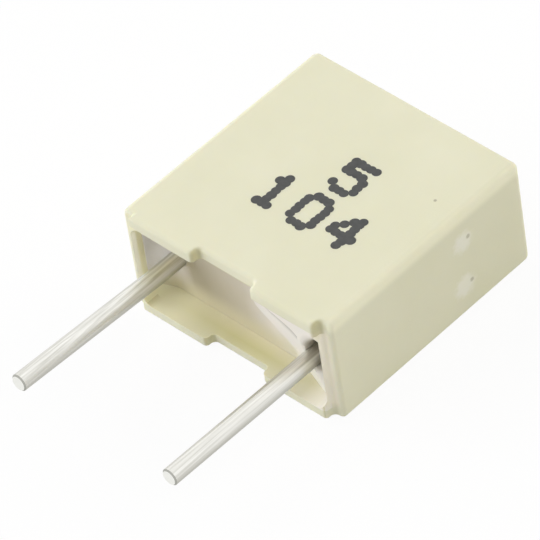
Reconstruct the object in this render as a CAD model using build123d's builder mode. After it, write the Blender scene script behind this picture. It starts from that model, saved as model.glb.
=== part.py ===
from build123d import *
from math import cos, radians, sin, tan
import os

# Boxed film capacitor with radial leads, lying on its plain broad face as it rests on a bench.
# X runs across the case, +Y towards its closed end, +Z out of the printed face.
# The origin is the middle of the broad face that it lies on. The leads leave towards -Y.
# All lengths are in millimetres.

# Case: one injection moulding, open at the lead end
case_width = 7.2
case_height = 7.5
case_thick = 3.5
wall = 0.35
closed_end_wall = 0.45
end_draft = 0.2  # degrees, on the two narrow end faces
core_draft = 0.4  # degrees, inside
case_edge_r = 0.2
cavity_corner_r = 0.3
foot_height = 0.3  # the four feet stand this far out of the rim
foot_gap = 2.0  # between the two feet of one broad wall
foot_corner_r = 0.14
left_rim_drop = 0.15  # the left end wall's rim lies this far below the ends of the feet
rim_edge_r = 0.12

# Leads: tinned round wire, welded to the end contacts
lead_pitch = 5.0
wire_d = 0.5
left_length = 5.1  # beyond the seating plane
right_length = 4.83
weld_past_middle = 1.3  # from the middle of the film element to the welded end
lead_bend_r = 1.0
lead_tip_chamfer = 0.04
left_lean = 3.0  # degrees, towards the printed face
right_lean = 0.8
left_weld_rise = 0.09  # the left lead is welded this far above the middle
right_weld_drop = 0.19  # and the right lead this far below it

# Film element: a flattened roll with sprayed metal end contacts
element_shift = 0.05  # it sits this far right of the middle of the case
winding_side_gap = 0.3  # from the roll to each broad wall, at the mouth
winding_top_gap = 0.35  # from the roll to the closed end
resin_cover = 0.55  # of resin, over the roll at the lead end
contact_thick = 0.3
contact_edge_chamfer = 0.1
weld_sink = 0.05  # how deep each lead sits in its end contact

# Resin fill: a level surface that climbs the left end wall and the left lead a little, and rises at the
# right by a bank with a rounded shoulder to a higher shelf. Each of the bank's three lines leaves the
# printed wall, turns at a corner and at an elbow (x, z), and ends at the plain wall.
resin_depth = 0.95  # from the seating plane down to the level surface
shelf_depth = 0.35  # from the seating plane down to the shelf
shelf_lip = 0.06  # the shelf's edge stands this far over the shoulder
shoulder_fall = 0.1  # from the foot of the lip to the shoulder's outer line
left_bank_r = 0.45  # the hollow curve in which the surface climbs the left end wall
lead_climb = 0.15  # up the left lead, and as far out from it
climb_hollow = 0.02
climb_thick = 0.03  # what is left of the resin at the top of its climb
shelf_on_printed_wall = 2.4  # the shelf's width along each broad wall, from the right end wall
shelf_on_plain_wall = 0.0
shelf_corner_z = 2.72
shelf_elbow = (2.25, 2.25)
shoulder_on_printed_wall = 0.3  # the shoulder's width along each broad wall, from the shelf
shoulder_on_plain_wall = 0.2
shoulder_corner_drop = 0.47  # from the shelf's corner down to the shoulder's
shoulder_elbow = (1.85, 1.45)
bank_on_printed_wall = 0.6  # the bank's whole width along each broad wall, from the shelf
bank_on_plain_wall = 1.45
bank_corner_drop = 0.45  # from the shoulder's corner down to the bank's
bank_elbow = (1.15, 0.85)
bank_corner_r = 0.3
bank_elbow_r = 0.9
bank_foot_r = 0.6  # where the bank runs out into the level surface
pit_long = 0.72  # half the length of the oval pit in the shelf, between the right lead and the end wall
pit_short = 0.36
pit_turn = 53  # degrees
pit_depth = 1.2  # from the seating plane
pit_x = 0.33  # from the right lead's axis to the middle of the pit
pit_z = 0.37
pit_lip = 0.15  # how far its lip spreads, and how deep
pit_taper = 0.05  # how much its walls close in

mid_z = case_thick / 2
seat_y = -case_height / 2
rim_y = seat_y + foot_height
closed_y = case_height / 2
floor_y = closed_y - closed_end_wall
half_width = case_width / 2
cavity_width = case_width - 2 * wall
cavity_thick = case_thick - 2 * wall
cavity_depth = floor_y - seat_y
foot_end = cavity_width / 2
outer_r = min(case_edge_r, 0.6 * wall)
foot_r = min(foot_corner_r, 0.9 * (wall - outer_r), 0.45 * foot_height)
left_foot_r = min(foot_r, 0.45 * left_rim_drop)
rim_r = min(rim_edge_r, 0.9 * foot_r)
left_x = element_shift - lead_pitch / 2
right_x = element_shift + lead_pitch / 2
left_z = mid_z + left_weld_rise
right_z = mid_z - right_weld_drop
level_y = seat_y + resin_depth
shelf_y = seat_y + shelf_depth
shelf_start = foot_end - shelf_on_printed_wall
shelf_end = foot_end - shelf_on_plain_wall
lip_y = shelf_y + shelf_lip
shoulder_corner_z = shelf_corner_z - shoulder_corner_drop
bank_corner_z = shoulder_corner_z - bank_corner_drop
shoulder_start = shelf_start - shoulder_on_printed_wall
shoulder_end = shelf_end - shoulder_on_plain_wall
bank_start = shelf_start - bank_on_printed_wall
bank_end = shelf_end - bank_on_plain_wall
winding_length = lead_pitch - wire_d + 2 * (weld_sink - contact_thick)
winding_thick = cavity_thick - 2 * winding_side_gap
winding_top = floor_y - winding_top_gap
winding_bottom = level_y + resin_cover
winding_height = winding_top - winding_bottom
winding_y = (winding_top + winding_bottom) / 2
left_r = min(left_bank_r, 0.9 * (level_y - shelf_y))
climb_r = wire_d / 2 + climb_thick
climb_start = climb_r + lead_climb
left_end = -cavity_width / 2 + climb_thick

os.makedirs("parts", exist_ok=True)


def across(y):
    """A plane across the case at y, facing out of its mouth, with its own y axis pointing up."""
    return Plane(origin=(0, y, mid_z), x_dir=(1, 0, 0), z_dir=(0, -1, 0))


# The space inside the case, widening towards the mouth so that the moulding leaves its core
with BuildPart() as cavity:
    core_taper = 2 * cavity_depth * tan(radians(core_draft))
    with BuildSketch(across(floor_y)):
        RectangleRounded(cavity_width - core_taper, cavity_thick - core_taper, cavity_corner_r)
    extrude(amount=cavity_depth, taper=-core_draft)
    fillet(cavity.faces().sort_by(Axis.Y)[-1].edges(), cavity_corner_r / 2)

# Case: its outline with four feet, seen from the printed side, extruded through its thickness and hollowed
with BuildPart() as case:
    with BuildSketch():
        with BuildLine():
            end_inset = (closed_y - rim_y) * tan(radians(end_draft))
            left_rim_y = seat_y + left_rim_drop
            Polyline(
                (-half_width + end_inset, closed_y),
                (-half_width, left_rim_y),
                (-foot_end, left_rim_y),
                (-foot_end, seat_y),
                (-foot_gap / 2, seat_y),
                (-foot_gap / 2, rim_y),
                (foot_gap / 2, rim_y),
                (foot_gap / 2, seat_y),
                (foot_end, seat_y),
                (foot_end, rim_y),
                (half_width, rim_y),
                (half_width - end_inset, closed_y),
                close=True,
            )
        make_face()
        foot_corners = vertices().filter_by(lambda v: v.Y < closed_y - 1 and abs(v.X) < foot_end + wall / 2)
        fillet(foot_corners.filter_by(lambda v: v.X > -foot_end + wall / 2), foot_r)
        fillet(foot_corners.filter_by(lambda v: v.X < -foot_end + wall / 2), left_foot_r)
    extrude(amount=case_thick)
    closed_edges = case.faces().sort_by(Axis.Y)[-1].edges()
    long_edges = case.edges().filter_by(lambda e: e.length > cavity_depth and abs(e.tangent_at(0.5).Y) > 0.9)
    fillet(closed_edges + long_edges, outer_r)
    mouth_faces = case.faces().filter_by(lambda f: f.center().Y < rim_y + outer_r)
    mouth_faces = mouth_faces.filter_by(lambda f: abs(f.normal_at().Z) < 0.1)
    broad_edges = mouth_faces.edges().filter_by(lambda e: abs(e.tangent_at(0.5).Z) < 0.9)
    narrow_edges = mouth_faces.edges().filter_by(lambda e: abs(e.center().X) > half_width - outer_r / 2)
    fillet(broad_edges + narrow_edges, rim_r)
    add(cavity.part, mode=Mode.SUBTRACT)
case.part.label = "case"
export_step(case.part, "parts/case.step")

# Film winding: metallised film wound and pressed flat, so its section is a long slot
with BuildPart() as film_winding:
    with BuildSketch(Plane.YZ.offset(element_shift - winding_length / 2)):
        with Locations((winding_y, mid_z)):
            SlotOverall(winding_height, winding_thick)
    extrude(amount=winding_length)
film_winding.part.label = "film_winding"
export_step(film_winding.part, "parts/film_winding.step")

# Leads and the end contacts that they are welded to. Each wire runs square out of the resin and is
# bent a little towards the printed face where it passes the feet.
filled = [film_winding.part]
for end, side, lead_x, lead_z, length, lean in (
    ("left", -1, left_x, left_z, left_length, left_lean),
    ("right", 1, right_x, right_z, right_length, right_lean),
):
    with BuildPart() as lead:
        welded_end = (lead_x, winding_y + weld_past_middle, lead_z)
        bend = (lead_x, seat_y, lead_z)
        tip = (lead_x, seat_y - length * cos(radians(lean)), lead_z + length * sin(radians(lean)))
        with BuildLine() as route:
            FilletPolyline(welded_end, bend, tip, radius=lead_bend_r)
        with BuildSketch(Plane(origin=welded_end, z_dir=(0, -1, 0))):
            Circle(wire_d / 2)
        sweep(path=route.wires()[0])
        chamfer(lead.faces().sort_by(Axis.Y)[0].edges(), lead_tip_chamfer)
    lead.part.label = f"lead_{end}"
    export_step(lead.part, f"parts/lead_{end}.step")

    with BuildPart() as contact:
        with BuildSketch(Plane.YZ.offset(element_shift + side * winding_length / 2)):
            with Locations((winding_y, mid_z)):
                SlotOverall(winding_height, winding_thick)
        extrude(amount=side * contact_thick)
        chamfer(contact.faces().sort_by(Axis.X)[0 if side < 0 else -1].edges(), contact_edge_chamfer)
        add(lead.part, mode=Mode.SUBTRACT)
    contact.part.label = f"end_contact_{end}"
    export_step(contact.part, f"parts/end_contact_{end}.step")
    filled += [lead.part, contact.part]

# The space over the resin, stacked from the four lines of the bank: the top and the foot of the lip, the
# shoulder and the foot of the bank
with BuildPart() as basin:
    for y, start, corner_z, elbow, end in (
        (shelf_y, shelf_start, shelf_corner_z, shelf_elbow, shelf_end),
        (lip_y, shelf_start, shelf_corner_z, shelf_elbow, shelf_end),
        (lip_y + shoulder_fall, shoulder_start, shoulder_corner_z, shoulder_elbow, shoulder_end),
        (level_y, bank_start, bank_corner_z, bank_elbow, bank_end),
    ):
        with BuildSketch(across(y)):
            with BuildLine():
                bank_edge = FilletPolyline(
                    (start, case_thick / 2),
                    (start, corner_z - mid_z),
                    (elbow[0], elbow[1] - mid_z),
                    (end, -case_thick / 2),
                    radius=(bank_corner_r, bank_elbow_r),
                )
                printed_corner = (left_end, case_thick / 2)
                plain_corner = (left_end, -case_thick / 2)
                Polyline(bank_edge @ 1, plain_corner, printed_corner, bank_edge @ 0)
            make_face()
    loft(ruled=True)
    surface_edges = basin.faces().sort_by(Axis.Y)[-1].edges()
    fillet(surface_edges.sort_by(Axis.X)[0], left_r)
    surface_edges = basin.faces().sort_by(Axis.Y)[-1].edges()
    inner_edges = surface_edges.filter_by(lambda e: abs(e.center().Z - mid_z) < cavity_thick / 2)
    fillet(inner_edges.sort_by(Axis.X)[1:], bank_foot_r)

# The pit in the shelf, a trumpet shape: its lip is rolled over and its walls run down almost straight
with BuildPart() as pit:
    for depth, flare in ((0, 1.0), (0.3, 0.35), (1.0, 0.0)):
        with BuildSketch(across(shelf_y + depth * pit_lip)):
            with Locations((right_x + pit_x, right_z + pit_z - mid_z)):
                Ellipse(pit_long + flare * pit_lip, pit_short + flare * pit_lip, rotation=pit_turn)
    with BuildSketch(across(seat_y + pit_depth)):
        with Locations((right_x + pit_x, right_z + pit_z - mid_z)):
            Ellipse(pit_long - pit_taper, pit_short - pit_taper, rotation=pit_turn)
    loft()

# Resin seal: everything inside the case that the element and its leads leave free
with BuildPart() as resin_seal:
    add(cavity.part)
    split(bisect_by=Plane(origin=(0, shelf_y, mid_z), z_dir=(0, 1, 0)), keep=Keep.TOP)
    add(basin.part, mode=Mode.SUBTRACT)
    with BuildSketch(Plane(origin=(left_x, level_y, left_z), x_dir=(1, 0, 0), z_dir=(0, 0, -1))):
        with BuildLine():
            climb = SagittaArc((climb_start, 0), (climb_r, lead_climb), climb_hollow)
            Polyline(climb @ 1, (0, lead_climb), (0, -lead_climb), (climb_start, -lead_climb), climb @ 0)
        make_face()
    revolve(axis=Axis((left_x, level_y, left_z), (0, 1, 0)))
    add(pit.part, mode=Mode.SUBTRACT)
    for piece in filled:
        add(piece, mode=Mode.SUBTRACT)
resin_seal.part.label = "resin_seal"
export_step(resin_seal.part, "parts/resin_seal.step")
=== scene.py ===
import bpy
import random
from math import cos, radians, sin
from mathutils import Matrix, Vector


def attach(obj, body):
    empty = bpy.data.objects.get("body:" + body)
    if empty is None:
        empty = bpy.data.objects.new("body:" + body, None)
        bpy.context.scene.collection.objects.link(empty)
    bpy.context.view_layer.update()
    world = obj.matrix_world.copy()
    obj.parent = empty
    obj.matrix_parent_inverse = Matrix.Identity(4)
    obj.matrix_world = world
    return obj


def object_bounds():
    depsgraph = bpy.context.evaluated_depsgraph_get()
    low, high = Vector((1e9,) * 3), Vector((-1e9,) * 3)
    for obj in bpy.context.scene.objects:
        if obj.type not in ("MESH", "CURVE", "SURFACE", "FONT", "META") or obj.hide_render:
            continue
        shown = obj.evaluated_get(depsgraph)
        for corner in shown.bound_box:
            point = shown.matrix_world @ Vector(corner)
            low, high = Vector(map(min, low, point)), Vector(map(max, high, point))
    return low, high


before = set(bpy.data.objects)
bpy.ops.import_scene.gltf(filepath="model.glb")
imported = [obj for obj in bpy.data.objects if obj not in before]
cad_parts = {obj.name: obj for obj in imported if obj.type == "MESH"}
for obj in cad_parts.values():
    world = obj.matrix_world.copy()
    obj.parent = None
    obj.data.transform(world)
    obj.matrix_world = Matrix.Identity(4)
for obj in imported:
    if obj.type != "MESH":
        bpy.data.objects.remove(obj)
cad_low, cad_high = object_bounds()
mm = 0.001


# The view: a long lens held above and to the right of the leads, close enough for the part to
# fill the frame, and tipped a little to one side.
camera_data = bpy.data.cameras.new("camera")
camera_data.lens = 423.7
camera_data.sensor_width = 36
camera_data.clip_start = 0.01
camera = bpy.data.objects.new("camera", camera_data)
camera.location = (88.17 * mm, -76.20 * mm, 117.20 * mm)
camera.rotation_euler = (radians(44.644), radians(6.683), radians(43.221))
bpy.context.scene.collection.objects.link(camera)
bpy.context.scene.camera = camera
bpy.context.scene.view_settings.view_transform = "Standard"


# The case: one injection moulding in ivory PBT, a stiff polyester. Its mould was spark eroded, so
# the skin is finely grained and satin, and it lets a little light in at thin edges.
def linear(hex_colour):
    """Turns an sRGB hex colour such as "#e6e6cd" to linear red, green, blue and alpha."""
    parts = [int(hex_colour[i : i + 2], 16) / 255 for i in (1, 3, 5)]
    return tuple(c / 12.92 if c <= 0.04045 else ((c + 0.055) / 1.055) ** 2.4 for c in parts) + (1.0,)


def add_node(material, kind, inputs=None, **settings):
    """Adds a shader node with its settings, and sets or links its inputs."""
    node = material.node_tree.nodes.new("ShaderNode" + kind)
    for name, value in settings.items():
        setattr(node, name, value)
    for name, value in (inputs or {}).items():
        if isinstance(value, bpy.types.NodeSocket):
            material.node_tree.links.new(value, node.inputs[name])
        else:
            node.inputs[name].default_value = value
    return node


def paint_strength(material, axes, limits, blend="LINEAR"):
    """Gives how strongly a tint is painted at each place, from 0 to 1.

    A limit is an axis, the place in millimetres where the tint sets in, and the place where it is
    full. Places 0.002 mm apart make a sharp edge.
    """
    strength = 1.0
    for axis, start, full in limits:
        reach = {"Value": axes.outputs[axis], "From Min": start * mm, "From Max": full * mm}
        passed = add_node(material, "MapRange", reach, interpolation_type=blend)
        both = add_node(material, "Math", {0: strength, 1: passed.outputs["Result"]}, operation="MULTIPLY")
        strength = both.outputs["Value"]
    return strength


ivory = bpy.data.materials.new("moulded_PBT")
ivory.use_nodes = True
ivory_skin = ivory.node_tree.nodes["Principled BSDF"]
ivory_skin.inputs["IOR"].default_value = 1.5
ivory_skin.inputs["Roughness"].default_value = 0.55
ivory_skin.inputs["Subsurface Weight"].default_value = 0.25
ivory_skin.inputs["Subsurface Radius"].default_value = (1.0, 0.85, 0.5)
ivory_skin.inputs["Subsurface Scale"].default_value = 0.25 * mm
ivory_place = add_node(ivory, "TexCoord").outputs["Object"]
ivory_axes = add_node(ivory, "SeparateXYZ", {"Vector": ivory_place})
# The colour drifts a little where the melt flowed, over two millimetres or so.
flow = add_node(ivory, "TexNoise", {"Vector": ivory_place, "Scale": 1 / (2.2 * mm), "Detail": 3.0})
outer_tone = add_node(ivory, "ValToRGB", {"Fac": flow.outputs["Fac"]})
outer_tone.color_ramp.elements[0].position = 0.3
outer_tone.color_ramp.elements[0].color = linear("#eae8cd")
outer_tone.color_ramp.elements[1].position = 0.7
outer_tone.color_ramp.elements[1].color = linear("#eeecd3")
# The shade inside the mouth is painted: olive a little below the rim, paler at the left, greyer
# towards the right, and pale again by the right end wall.
below_rim = paint_strength(ivory, ivory_axes, (("Y", -3.7, -2.7),))
depth_tone = add_node(ivory, "ValToRGB", {"Fac": below_rim})
depth_tone.color_ramp.elements[0].color = linear("#e9e7cb")
depth_tone.color_ramp.elements[1].color = linear("#faf3da")
depth_tone.color_ramp.elements.new(0.5).color = linear("#dcd8a6")
inner_colour = depth_tone.outputs["Color"]
for hex_colour, most, start, full in (
    ("#f8f4d2", 1.0, -0.5, -2.8),
    ("#dad6c0", 0.6, 0.6, 2.2),
    ("#fdf8ec", 1.0, 2.3, 2.95),
):
    sideways = paint_strength(ivory, ivory_axes, (("X", start, full),))
    paint = add_node(ivory, "Math", {0: sideways, 1: most}, operation="MULTIPLY")
    tint = {0: paint.outputs["Value"], 6: inner_colour, 7: linear(hex_colour)}
    inner_colour = add_node(ivory, "Mix", tint, data_type="RGBA").outputs[2]
# The mouth starts 0.02 mm into the walls, whose inner faces are 0.35 mm from the outer ones.
mouth_limits = (
    ("X", -3.271, -3.269),
    ("X", 3.271, 3.269),
    ("Y", 0.001, -0.001),
    ("Z", 0.329, 0.331),
    ("Z", 3.171, 3.169),
)
inside = paint_strength(ivory, ivory_axes, mouth_limits)
skin = {0: inside, 6: outer_tone.outputs["Color"], 7: inner_colour}
skin_colour = add_node(ivory, "Mix", skin, data_type="RGBA").outputs[2]
# The inner half of the right end wall's rim is painted nearly white, as if resin lay on it, and a
# paler band is painted down the right long edge as a painted highlight.
white_rim = (
    ("X", 3.52, 3.40),
    ("X", 3.099, 3.101),
    ("Y", -3.199, -3.201),
    ("Z", 0.30, 0.55),
    ("Z", 3.25, 3.0),
)
# The paler band along the right long edge is a painted highlight.
painted_edge_highlight = (("X", 3.38, 3.50), ("Z", 3.05, 3.35))
for hex_colour, blend, limits in (("#fff8e4", "LINEAR", white_rim), ("#fdfadf", "SMOOTHSTEP", painted_edge_highlight)):
    tint = {0: paint_strength(ivory, ivory_axes, limits, blend), 6: skin_colour, 7: linear(hex_colour)}
    skin_colour = add_node(ivory, "Mix", tint, data_type="RGBA").outputs[2]
# The ends of the feet that face right are painted darker, a painted shade like the shade in the
# mouth. The foot at the right end of the plain wall is left out.
ivory_facing = add_node(ivory, "SeparateXYZ", {"Vector": add_node(ivory, "TexCoord").outputs["Normal"]})
turned_right = {"Value": ivory_facing.outputs["X"], "From Min": 0.2, "From Max": 0.7, "To Max": 0.65}
faces_right = add_node(ivory, "MapRange", turned_right)
foot_limits = (("X", -3.101, -3.099), ("X", 3.381, 3.379), ("Y", -3.349, -3.351))
on_feet = paint_strength(ivory, ivory_axes, foot_limits)
printed_side = paint_strength(ivory, ivory_axes, (("Z", 3.049, 3.051),))
off_right_end = paint_strength(ivory, ivory_axes, (("X", 3.201, 3.199),))
left_in = add_node(ivory, "Math", {0: printed_side, 1: off_right_end}, operation="MAXIMUM")
painted_foot_shade = add_node(ivory, "Math", {0: faces_right.outputs["Result"], 1: on_feet}, operation="MULTIPLY")
painted_foot_shade = add_node(ivory, "Math", {0: painted_foot_shade.outputs[0], 1: left_in.outputs[0]}, operation="MULTIPLY")
# The olive tint on the right-facing foot ends is painted shade.
tint = {0: painted_foot_shade.outputs[0], 6: skin_colour, 7: linear("#c9c393")}
skin_colour = add_node(ivory, "Mix", tint, data_type="RGBA").outputs[2]
# Two pale smears lie on the right end wall, each with a small grey spot that is painted shade of a
# dimple, and there is a grey speck in the printed face. Each spot is full at its inner radius.
ragged_noise = add_node(ivory, "TexNoise", {"Vector": ivory_place, "Scale": 1 / (0.15 * mm), "Detail": 3.0})
for x, y, z, outer_r, inner_r, ragged, hex_colour, most in (
    (3.6, 1.42, 2.5, 0.42, 0.21, 0.168, "#fffdf4", 0.55),
    (3.6, 1.30, 1.0, 0.45, 0.225, 0.18, "#fffdf4", 0.55),
    # These two grey spots are painted shade of dimples.
    (3.6, 1.62, 2.55, 0.09, 0.045, 0.036, "#a9a48a", 0.6),
    (3.6, 1.57, 1.03, 0.09, 0.045, 0.036, "#a9a48a", 0.6),
    (2.75, 1.43, 3.5, 0.055, 0.03, 0.0, "#bdb9a4", 1.0),
):
    spot = {"Vector": ivory_place, "Location": (-x * mm, -y * mm, -z * mm)}
    spot_place = add_node(ivory, "Mapping", spot).outputs["Vector"]
    distance = add_node(ivory, "VectorMath", {0: spot_place}, operation="LENGTH").outputs["Value"]
    ragged_range = {"Value": ragged_noise.outputs["Fac"], "To Min": ragged * mm, "To Max": -ragged * mm}
    wander = add_node(ivory, "MapRange", ragged_range).outputs["Result"]
    radius = add_node(ivory, "Math", {0: distance, 1: wander}, operation="ADD").outputs["Value"]
    spot_range = {"Value": radius, "From Min": outer_r * mm, "From Max": inner_r * mm, "To Max": most}
    spread = add_node(ivory, "MapRange", spot_range).outputs["Result"]
    tint = {0: spread, 6: skin_colour, 7: linear(hex_colour)}
    skin_colour = add_node(ivory, "Mix", tint, data_type="RGBA").outputs[2]
ivory.node_tree.links.new(skin_colour, ivory_skin.inputs["Base Color"])
# The eroded grain is about 0.03 mm, too fine to show, so it is drawn at 0.07 mm.
grain = add_node(ivory, "TexNoise", {"Vector": ivory_place, "Scale": 1 / (0.07 * mm), "Detail": 2.0})
grained = {"Height": grain.outputs["Fac"], "Distance": 0.004 * mm, "Strength": 0.5}
ivory.node_tree.links.new(add_node(ivory, "Bump", grained).outputs["Normal"], ivory_skin.inputs["Normal"])
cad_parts["case"].data.materials.clear()
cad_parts["case"].data.materials.append(ivory)


# The film element: a flattened roll of metallised polyester film, with zinc sprayed on both ends.
# All of it is buried in the resin.
foil = bpy.data.materials.new("metallised_film")
foil.use_nodes = True
foil_skin = foil.node_tree.nodes["Principled BSDF"]
foil_skin.inputs["Metallic"].default_value = 0.8
foil_skin.inputs["Roughness"].default_value = 0.35
foil_place = add_node(foil, "TexCoord").outputs["Object"]
# The roll's turns are far too thin to show, so the tone varies over 0.1 mm instead.
turns = add_node(foil, "TexNoise", {"Vector": foil_place, "Scale": 1 / (0.1 * mm)})
turn_tone = add_node(foil, "ValToRGB", {"Fac": turns.outputs["Fac"]})
turn_tone.color_ramp.elements[0].color = linear("#a9acb0")
turn_tone.color_ramp.elements[1].color = linear("#c9ccd0")
foil.node_tree.links.new(turn_tone.outputs["Color"], foil_skin.inputs["Base Color"])
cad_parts["film_winding"].data.materials.clear()
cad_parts["film_winding"].data.materials.append(foil)

zinc = bpy.data.materials.new("sprayed_zinc")
zinc.use_nodes = True
zinc_skin = zinc.node_tree.nodes["Principled BSDF"]
zinc_skin.inputs["Metallic"].default_value = 1.0
zinc_skin.inputs["Roughness"].default_value = 0.6
zinc_place = add_node(zinc, "TexCoord").outputs["Object"]
# Sprayed droplets freeze as grains of about 0.06 mm.
droplets = add_node(zinc, "TexVoronoi", {"Vector": zinc_place, "Scale": 1 / (0.06 * mm)})
droplet_tone = add_node(zinc, "ValToRGB", {"Fac": droplets.outputs["Distance"]})
droplet_tone.color_ramp.elements[0].color = linear("#a2a4a6")
droplet_tone.color_ramp.elements[1].color = linear("#85878a")
zinc.node_tree.links.new(droplet_tone.outputs["Color"], zinc_skin.inputs["Base Color"])
rough = add_node(zinc, "Bump", {"Height": droplets.outputs["Distance"], "Distance": 0.01 * mm})
zinc.node_tree.links.new(rough.outputs["Normal"], zinc_skin.inputs["Normal"])
for contact in ("end_contact_left", "end_contact_right"):
    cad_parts[contact].data.materials.clear()
    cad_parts[contact].data.materials.append(zinc)


# The resin seal: a pale filled epoxy, poured in and cured, so its skin is smooth and glossy with
# soft waves.
epoxy = bpy.data.materials.new("cured_epoxy")
epoxy.use_nodes = True
epoxy_skin = epoxy.node_tree.nodes["Principled BSDF"]
epoxy_skin.inputs["IOR"].default_value = 1.55
epoxy_skin.inputs["Roughness"].default_value = 0.28
epoxy_skin.inputs["Subsurface Weight"].default_value = 0.2
epoxy_skin.inputs["Subsurface Radius"].default_value = (1.0, 0.8, 0.6)
epoxy_skin.inputs["Subsurface Scale"].default_value = 0.2 * mm
epoxy_place = add_node(epoxy, "TexCoord").outputs["Object"]
epoxy_axes = add_node(epoxy, "SeparateXYZ", {"Vector": epoxy_place})
# Its tone is painted from brown at the left to nearly white at the right, wandering a little. The
# brown at the left is painted shade, and the near white at the far left edge is a painted highlight.
swirl = add_node(epoxy, "TexNoise", {"Vector": epoxy_place, "Scale": 1 / (1.2 * mm), "Detail": 4.0})
drift_range = {"Value": swirl.outputs["Fac"], "To Min": -0.4 * mm, "To Max": 0.4 * mm}
drift = add_node(epoxy, "MapRange", drift_range).outputs["Result"]
drifted = add_node(epoxy, "Math", {0: epoxy_axes.outputs["X"], 1: drift}, operation="ADD").outputs["Value"]
across_range = {"Value": drifted, "From Min": -3.2 * mm, "From Max": 3.2 * mm}
across = add_node(epoxy, "MapRange", across_range).outputs["Result"]
resin_tone_and_painted_shade = add_node(epoxy, "ValToRGB", {"Fac": across})
resin_tone_and_painted_shade.color_ramp.elements[0].color = linear("#fbf7f6")
resin_tone_and_painted_shade.color_ramp.elements[1].color = linear("#fffaf0")
# The brown stops are painted shade, and the pale stops at the far left are a painted highlight.
for position, hex_colour in (
    (0.09, "#efe8e0"),
    (0.16, "#c3b9a2"),
    (0.22, "#c3b9a2"),
    (0.45, "#dbd2c0"),
    (0.63, "#fbf4ec"),
):
    resin_tone_and_painted_shade.color_ramp.elements.new(position).color = linear(hex_colour)
# Down towards the plain wall it is painted nearer to the wall's olive, as painted shade and a
# painted reflection of the wall, and in the bank at the right nearly white.
in_bank = add_node(epoxy, "MapRange", {"Value": across, "From Min": 0.55, "From Max": 0.85})
wall_shade_tints = {0: in_bank.outputs["Result"], 6: linear("#e9e1c5"), 7: linear("#fffcf2")}
wall_shade_colour = add_node(epoxy, "Mix", wall_shade_tints, data_type="RGBA").outputs[2]
# Painted shade and painted reflection of the olive wall, strongest near the plain wall.
painted_wall_shade = paint_strength(epoxy, epoxy_axes, (("Z", 1.15, 0.45),), "SMOOTHSTEP")
resin_tints = {0: painted_wall_shade, 6: resin_tone_and_painted_shade.outputs["Color"], 7: wall_shade_colour}
resin_colour = add_node(epoxy, "Mix", resin_tints, data_type="RGBA").outputs[2]
# A thin dark line of painted shadow is painted under the shelf's lip, and painted shade down the pit
# beside the right lead.
pit_centre = {"Vector": epoxy_place, "Location": (-2.85 * mm, 2.9 * mm, -1.93 * mm)}
pit_place = add_node(epoxy, "Mapping", pit_centre).outputs["Vector"]
pit_distance = add_node(epoxy, "VectorMath", {0: pit_place}, operation="LENGTH").outputs["Value"]
pit_range = {"Value": pit_distance, "From Min": 0.8 * mm, "From Max": 0.4 * mm}
pit_shade = add_node(epoxy, "MapRange", pit_range).outputs["Result"]
off_pit = add_node(epoxy, "Math", {0: pit_distance, 1: 0.86 * mm}, operation="GREATER_THAN").outputs[0]
lip_limits = (("X", 0.499, 0.501), ("Y", -3.396, -3.394), ("Y", -3.30, -3.335))
under_lip = paint_strength(epoxy, epoxy_axes, lip_limits)
# The line under the lip is a painted shadow.
painted_lip_shadow = add_node(epoxy, "Math", {0: under_lip, 1: off_pit}, operation="MULTIPLY").outputs["Value"]
shade = add_node(epoxy, "Math", {0: painted_lip_shadow, 1: pit_shade}, operation="MAXIMUM").outputs["Value"]
shade_tints = {0: shade, 6: resin_colour, 7: linear("#968f7f")}
shaded_colour = add_node(epoxy, "Mix", shade_tints, data_type="RGBA").outputs[2]
epoxy.node_tree.links.new(shaded_colour, epoxy_skin.inputs["Base Color"])
waves = add_node(epoxy, "TexNoise", {"Vector": epoxy_place, "Scale": 1 / (0.5 * mm), "Detail": 1.0})
waved = {"Height": waves.outputs["Fac"], "Distance": 0.02 * mm, "Strength": 0.4}
epoxy.node_tree.links.new(add_node(epoxy, "Bump", waved).outputs["Normal"], epoxy_skin.inputs["Normal"])
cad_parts["resin_seal"].data.materials.clear()
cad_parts["resin_seal"].data.materials.append(epoxy)


# The leads: drawn steel wire with a copper skin and a bright tin plating. Drawing leaves fine
# lines along the wire.
tin = bpy.data.materials.new("tinned_wire")
tin.use_nodes = True
tin_skin = tin.node_tree.nodes["Principled BSDF"]
tin_skin.inputs["Metallic"].default_value = 1.0
tin_place = add_node(tin, "TexCoord").outputs["Object"]
# Drawing lines are finer than this. They are drawn 0.06 mm apart and a few millimetres long.
line_scale = (1 / (0.06 * mm), 1 / (3.0 * mm), 1 / (0.06 * mm))
along = add_node(tin, "Mapping", {"Vector": tin_place, "Scale": line_scale}).outputs["Vector"]
lines = add_node(tin, "TexNoise", {"Vector": along, "Scale": 1.0, "Detail": 2.0}).outputs["Fac"]
line_tone = add_node(tin, "ValToRGB", {"Fac": lines})
line_tone.color_ramp.elements[0].position = 0.3
line_tone.color_ramp.elements[0].color = linear("#d8d7cf")
line_tone.color_ramp.elements[1].position = 0.68
line_tone.color_ramp.elements[1].color = linear("#fefdf8")
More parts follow.
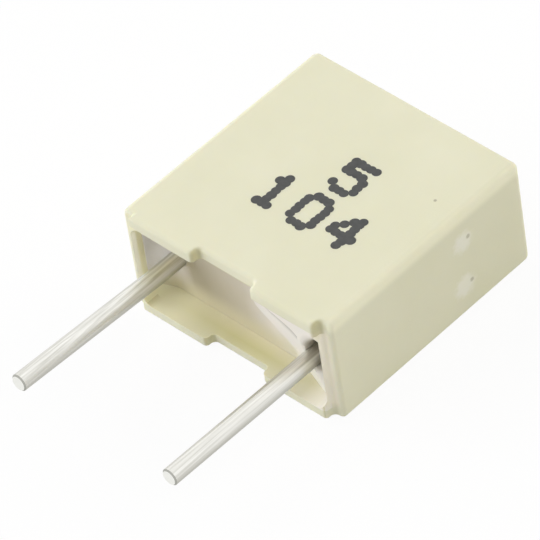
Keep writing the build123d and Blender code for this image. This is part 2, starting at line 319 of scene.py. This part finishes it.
# A darker tone is painted on the underside as painted shade, and half as strong on the left. The
# cropped ends are bright, with a darker ring where each one is rounded over.
tin_facing = add_node(tin, "SeparateXYZ", {"Vector": add_node(tin, "TexCoord").outputs["Normal"]})
tin_colour = line_tone.outputs["Color"]
turned_down = {"Value": tin_facing.outputs["Z"], "From Min": 0.8, "From Max": -0.2}
turned_left = {"Value": tin_facing.outputs["X"], "From Min": -0.2, "From Max": -0.8, "To Max": 0.5}
turned_over = {"Value": tin_facing.outputs["Y"], "From Min": -0.2, "From Max": -0.5, "To Max": 0.8}
turned_end = {"Value": tin_facing.outputs["Y"], "From Min": -0.9, "From Max": -0.98}
underside = add_node(tin, "MapRange", turned_down).outputs["Result"]
left_side = add_node(tin, "MapRange", turned_left).outputs["Result"]
painted_underside_shade = add_node(tin, "Math", {0: underside, 1: left_side}, operation="MAXIMUM").outputs["Value"]
crop_ring = add_node(tin, "MapRange", turned_over).outputs["Result"]
cropped = add_node(tin, "MapRange", turned_end).outputs["Result"]
# The first tint is painted shade on the underside and the left side.
for strength, hex_colour in ((painted_underside_shade, "#bcbbb2"), (crop_ring, "#a3a39c"), (cropped, "#f0f0eb")):
    tint = {0: strength, 6: tin_colour, 7: linear(hex_colour)}
    tin_colour = add_node(tin, "Mix", tint, data_type="RGBA").outputs[2]
tin.node_tree.links.new(tin_colour, tin_skin.inputs["Base Color"])
line_rough = add_node(tin, "MapRange", {"Value": lines, "To Min": 0.34, "To Max": 0.5})
tin.node_tree.links.new(line_rough.outputs["Result"], tin_skin.inputs["Roughness"])
drawn = add_node(tin, "Bump", {"Height": lines, "Distance": 0.004 * mm, "Strength": 0.4})
tin.node_tree.links.new(drawn.outputs["Normal"], tin_skin.inputs["Normal"])
for lead in ("lead_left", "lead_right"):
    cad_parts[lead].data.materials.clear()
    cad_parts[lead].data.materials.append(tin)


# The printed digits: ink jetted on the printed face in a matrix five drops wide and seven high. The
# drops spread and run together, so each stroke has a scalloped edge.
drop_matrix = {
    "0": (".###.", "#...#", "#...#", "#...#", "#...#", "#...#", ".###."),
    "1": ("..#..", ".##..", "..#..", "..#..", "..#..", "..#..", ".###."),
    "4": ("...#.", "..##.", ".#.#.", "#..#.", "#####", "...#.", "...#."),
    "5": ("#####", "#....", "####.", "....#", "....#", "#...#", ".###."),
}
middle_row, middle_column = 3, 2
drop_pitch = 0.175 * mm
drop_r = 0.143 * mm
drop_shake = 0.008 * mm
ink_proud = 0.004 * mm
printed_face = cad_high.z
digit_places = (("1", -0.80, -0.76), ("0", 0.42, -0.78), ("4", 1.63, -0.76), ("5", 0.50, 0.74))
bpy.ops.object.select_all(action="DESELECT")
# One drop is half sunk in the face, and its upper edge is bevelled. Each copy of it lands a little
# off its place and spreads a little more or less.
bpy.ops.mesh.primitive_cylinder_add(vertices=20, radius=drop_r, depth=2 * ink_proud)
first_drop = bpy.context.object
for vertex in first_drop.data.vertices:
    vertex.select = vertex.co.z > 0
bpy.ops.object.mode_set(mode="EDIT")
bpy.ops.mesh.bevel(offset=0.6 * ink_proud)
bpy.ops.object.mode_set(mode="OBJECT")
jet = random.Random(4)
drops = []
for digit, digit_x, digit_y in digit_places:
    for row, pattern in enumerate(drop_matrix[digit]):
        for column, mark in enumerate(pattern):
            if mark == "#":
                drop = first_drop.copy()
                drop.data = first_drop.data.copy()
                x = digit_x * mm + (column - middle_column) * drop_pitch + jet.gauss(0, drop_shake)
                y = digit_y * mm + (middle_row - row) * drop_pitch + jet.gauss(0, drop_shake)
                drop.location = (x, y, printed_face)
                drop_spread = jet.uniform(0.93, 1.07)
                drop.scale = (drop_spread, drop_spread, 1)
                bpy.context.scene.collection.objects.link(drop)
                drops.append(drop)
bpy.data.objects.remove(first_drop)
bpy.ops.object.select_all(action="DESELECT")
for drop in drops:
    drop.select_set(True)
bpy.context.view_layer.objects.active = drops[0]
bpy.ops.object.transform_apply(location=True, rotation=True, scale=True)
bpy.ops.object.join()
digits = bpy.context.object
# Where drops overlap, they become one skin.
bpy.ops.object.mode_set(mode="EDIT")
bpy.ops.mesh.select_all(action="SELECT")
bpy.ops.mesh.intersect_boolean(operation="UNION", use_self=True, solver="EXACT")
bpy.ops.object.mode_set(mode="OBJECT")
digits.name = "printed_digits"
ink = bpy.data.materials.new("jetted_ink")
ink.use_nodes = True
ink_skin = ink.node_tree.nodes["Principled BSDF"]
ink_skin.inputs["Roughness"].default_value = 0.6
ink_place = add_node(ink, "TexCoord").outputs["Object"]
# The ink dries a little uneven, over 0.15 mm, about one drop.
density = add_node(ink, "TexNoise", {"Vector": ink_place, "Scale": 1 / (0.15 * mm), "Detail": 2.0})
ink_tone = add_node(ink, "ValToRGB", {"Fac": density.outputs["Fac"]})
ink_tone.color_ramp.elements[0].color = linear("#3b3c3c")
ink_tone.color_ramp.elements[1].color = linear("#555655")
ink.node_tree.links.new(ink_tone.outputs["Color"], ink_skin.inputs["Base Color"])
digits.data.materials.append(ink)
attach(digits, "root")


# The floor: a wide pale sheet just under the part, which shows white and keeps a faint shadow. Seen
# from below it isn't there.
floor_width = 1.2
floor_drop = 0.004 * mm
floor_glow = 1.02
glow_most = 0.9
bpy.ops.object.select_all(action="DESELECT")
bpy.ops.mesh.primitive_plane_add(size=floor_width, location=(0, 0, -floor_drop))
floor = bpy.context.object
floor.name = "floor"
paper = bpy.data.materials.new("pale_floor")
paper.use_nodes = True
paper.node_tree.nodes.remove(paper.node_tree.nodes["Principled BSDF"])
matt = add_node(paper, "BsdfDiffuse", {"Color": (0.85, 0.85, 0.85, 1.0)})
glow = add_node(paper, "Emission", {"Color": (1.0, 1.0, 1.0, 1.0), "Strength": floor_glow})
floor_ray = add_node(paper, "LightPath")
floor_seen = floor_ray.outputs["Is Camera Ray"]
for ray_kind in ("Is Glossy Ray", "Is Transmission Ray"):
    either = {0: floor_seen, 1: floor_ray.outputs[ray_kind]}
    floor_seen = add_node(paper, "Math", either, operation="MAXIMUM").outputs["Value"]
glow_share = add_node(paper, "Math", {0: floor_seen, 1: glow_most}, operation="MULTIPLY").outputs["Value"]
floor_top = add_node(paper, "MixShader", {0: glow_share, 1: matt.outputs[0], 2: glow.outputs[0]})
below = add_node(paper, "NewGeometry").outputs["Backfacing"]
clear = add_node(paper, "BsdfTransparent")
one_sided = add_node(paper, "MixShader", {0: below, 1: floor_top.outputs[0], 2: clear.outputs[0]})
paper_output = paper.node_tree.nodes["Material Output"]
paper.node_tree.links.new(one_sided.outputs[0], paper_output.inputs["Surface"])
floor.data.materials.append(paper)


# The light: eight broad round lamps around and above the part, stronger in front and at the left.
# The world is white in view and in reflections, and lights nothing else.
world = bpy.data.worlds.new("room")
bpy.context.scene.world = world
world.use_nodes = True
room = world.node_tree.nodes["Background"]
room.inputs["Color"].default_value = (1.0, 1.0, 1.0, 1.0)
room_ray = add_node(world, "LightPath").outputs
room_seen = {0: room_ray["Is Camera Ray"], 1: room_ray["Is Glossy Ray"]}
room_strength = add_node(world, "Math", room_seen, operation="MAXIMUM")
world.node_tree.links.new(room_strength.outputs["Value"], room.inputs["Strength"])

lamp_distance = 0.5
lamp_size = 0.5
white = (1.0, 1.0, 1.0)
warm = (1.0, 0.96, 0.78)
for name, turn, climb, power, colour in (
    ("left_front_lamp", -45, 25, 1.48, white),
    ("left_lamp", -90, 25, 1.05, white),
    ("high_left_lamp", -90, 65, 0.33, white),
    ("right_back_lamp", 135, 25, 0.54, warm),
    ("back_lamp", 180, 25, 1.03, white),
    ("right_lamp", 90, 25, 0.21, warm),
    ("high_lamp", 45, 50, 0.73, white),
    ("high_back_lamp", 135, 50, 0.23, white),
):
    lamp_data = bpy.data.lights.new(name, "AREA")
    lamp_data.shape = "DISK"
    lamp_data.size = lamp_size
    lamp_data.energy = power
    lamp_data.color = colour
    lamp = bpy.data.objects.new(name, lamp_data)
    away = lamp_distance * cos(radians(climb))
    up = lamp_distance * sin(radians(climb))
    lamp.location = (away * sin(radians(turn)), -away * cos(radians(turn)), up)
    lamp.rotation_euler = lamp.location.to_track_quat("Z", "Y").to_euler()
    lamp.visible_glossy = False
    bpy.context.scene.collection.objects.link(lamp)
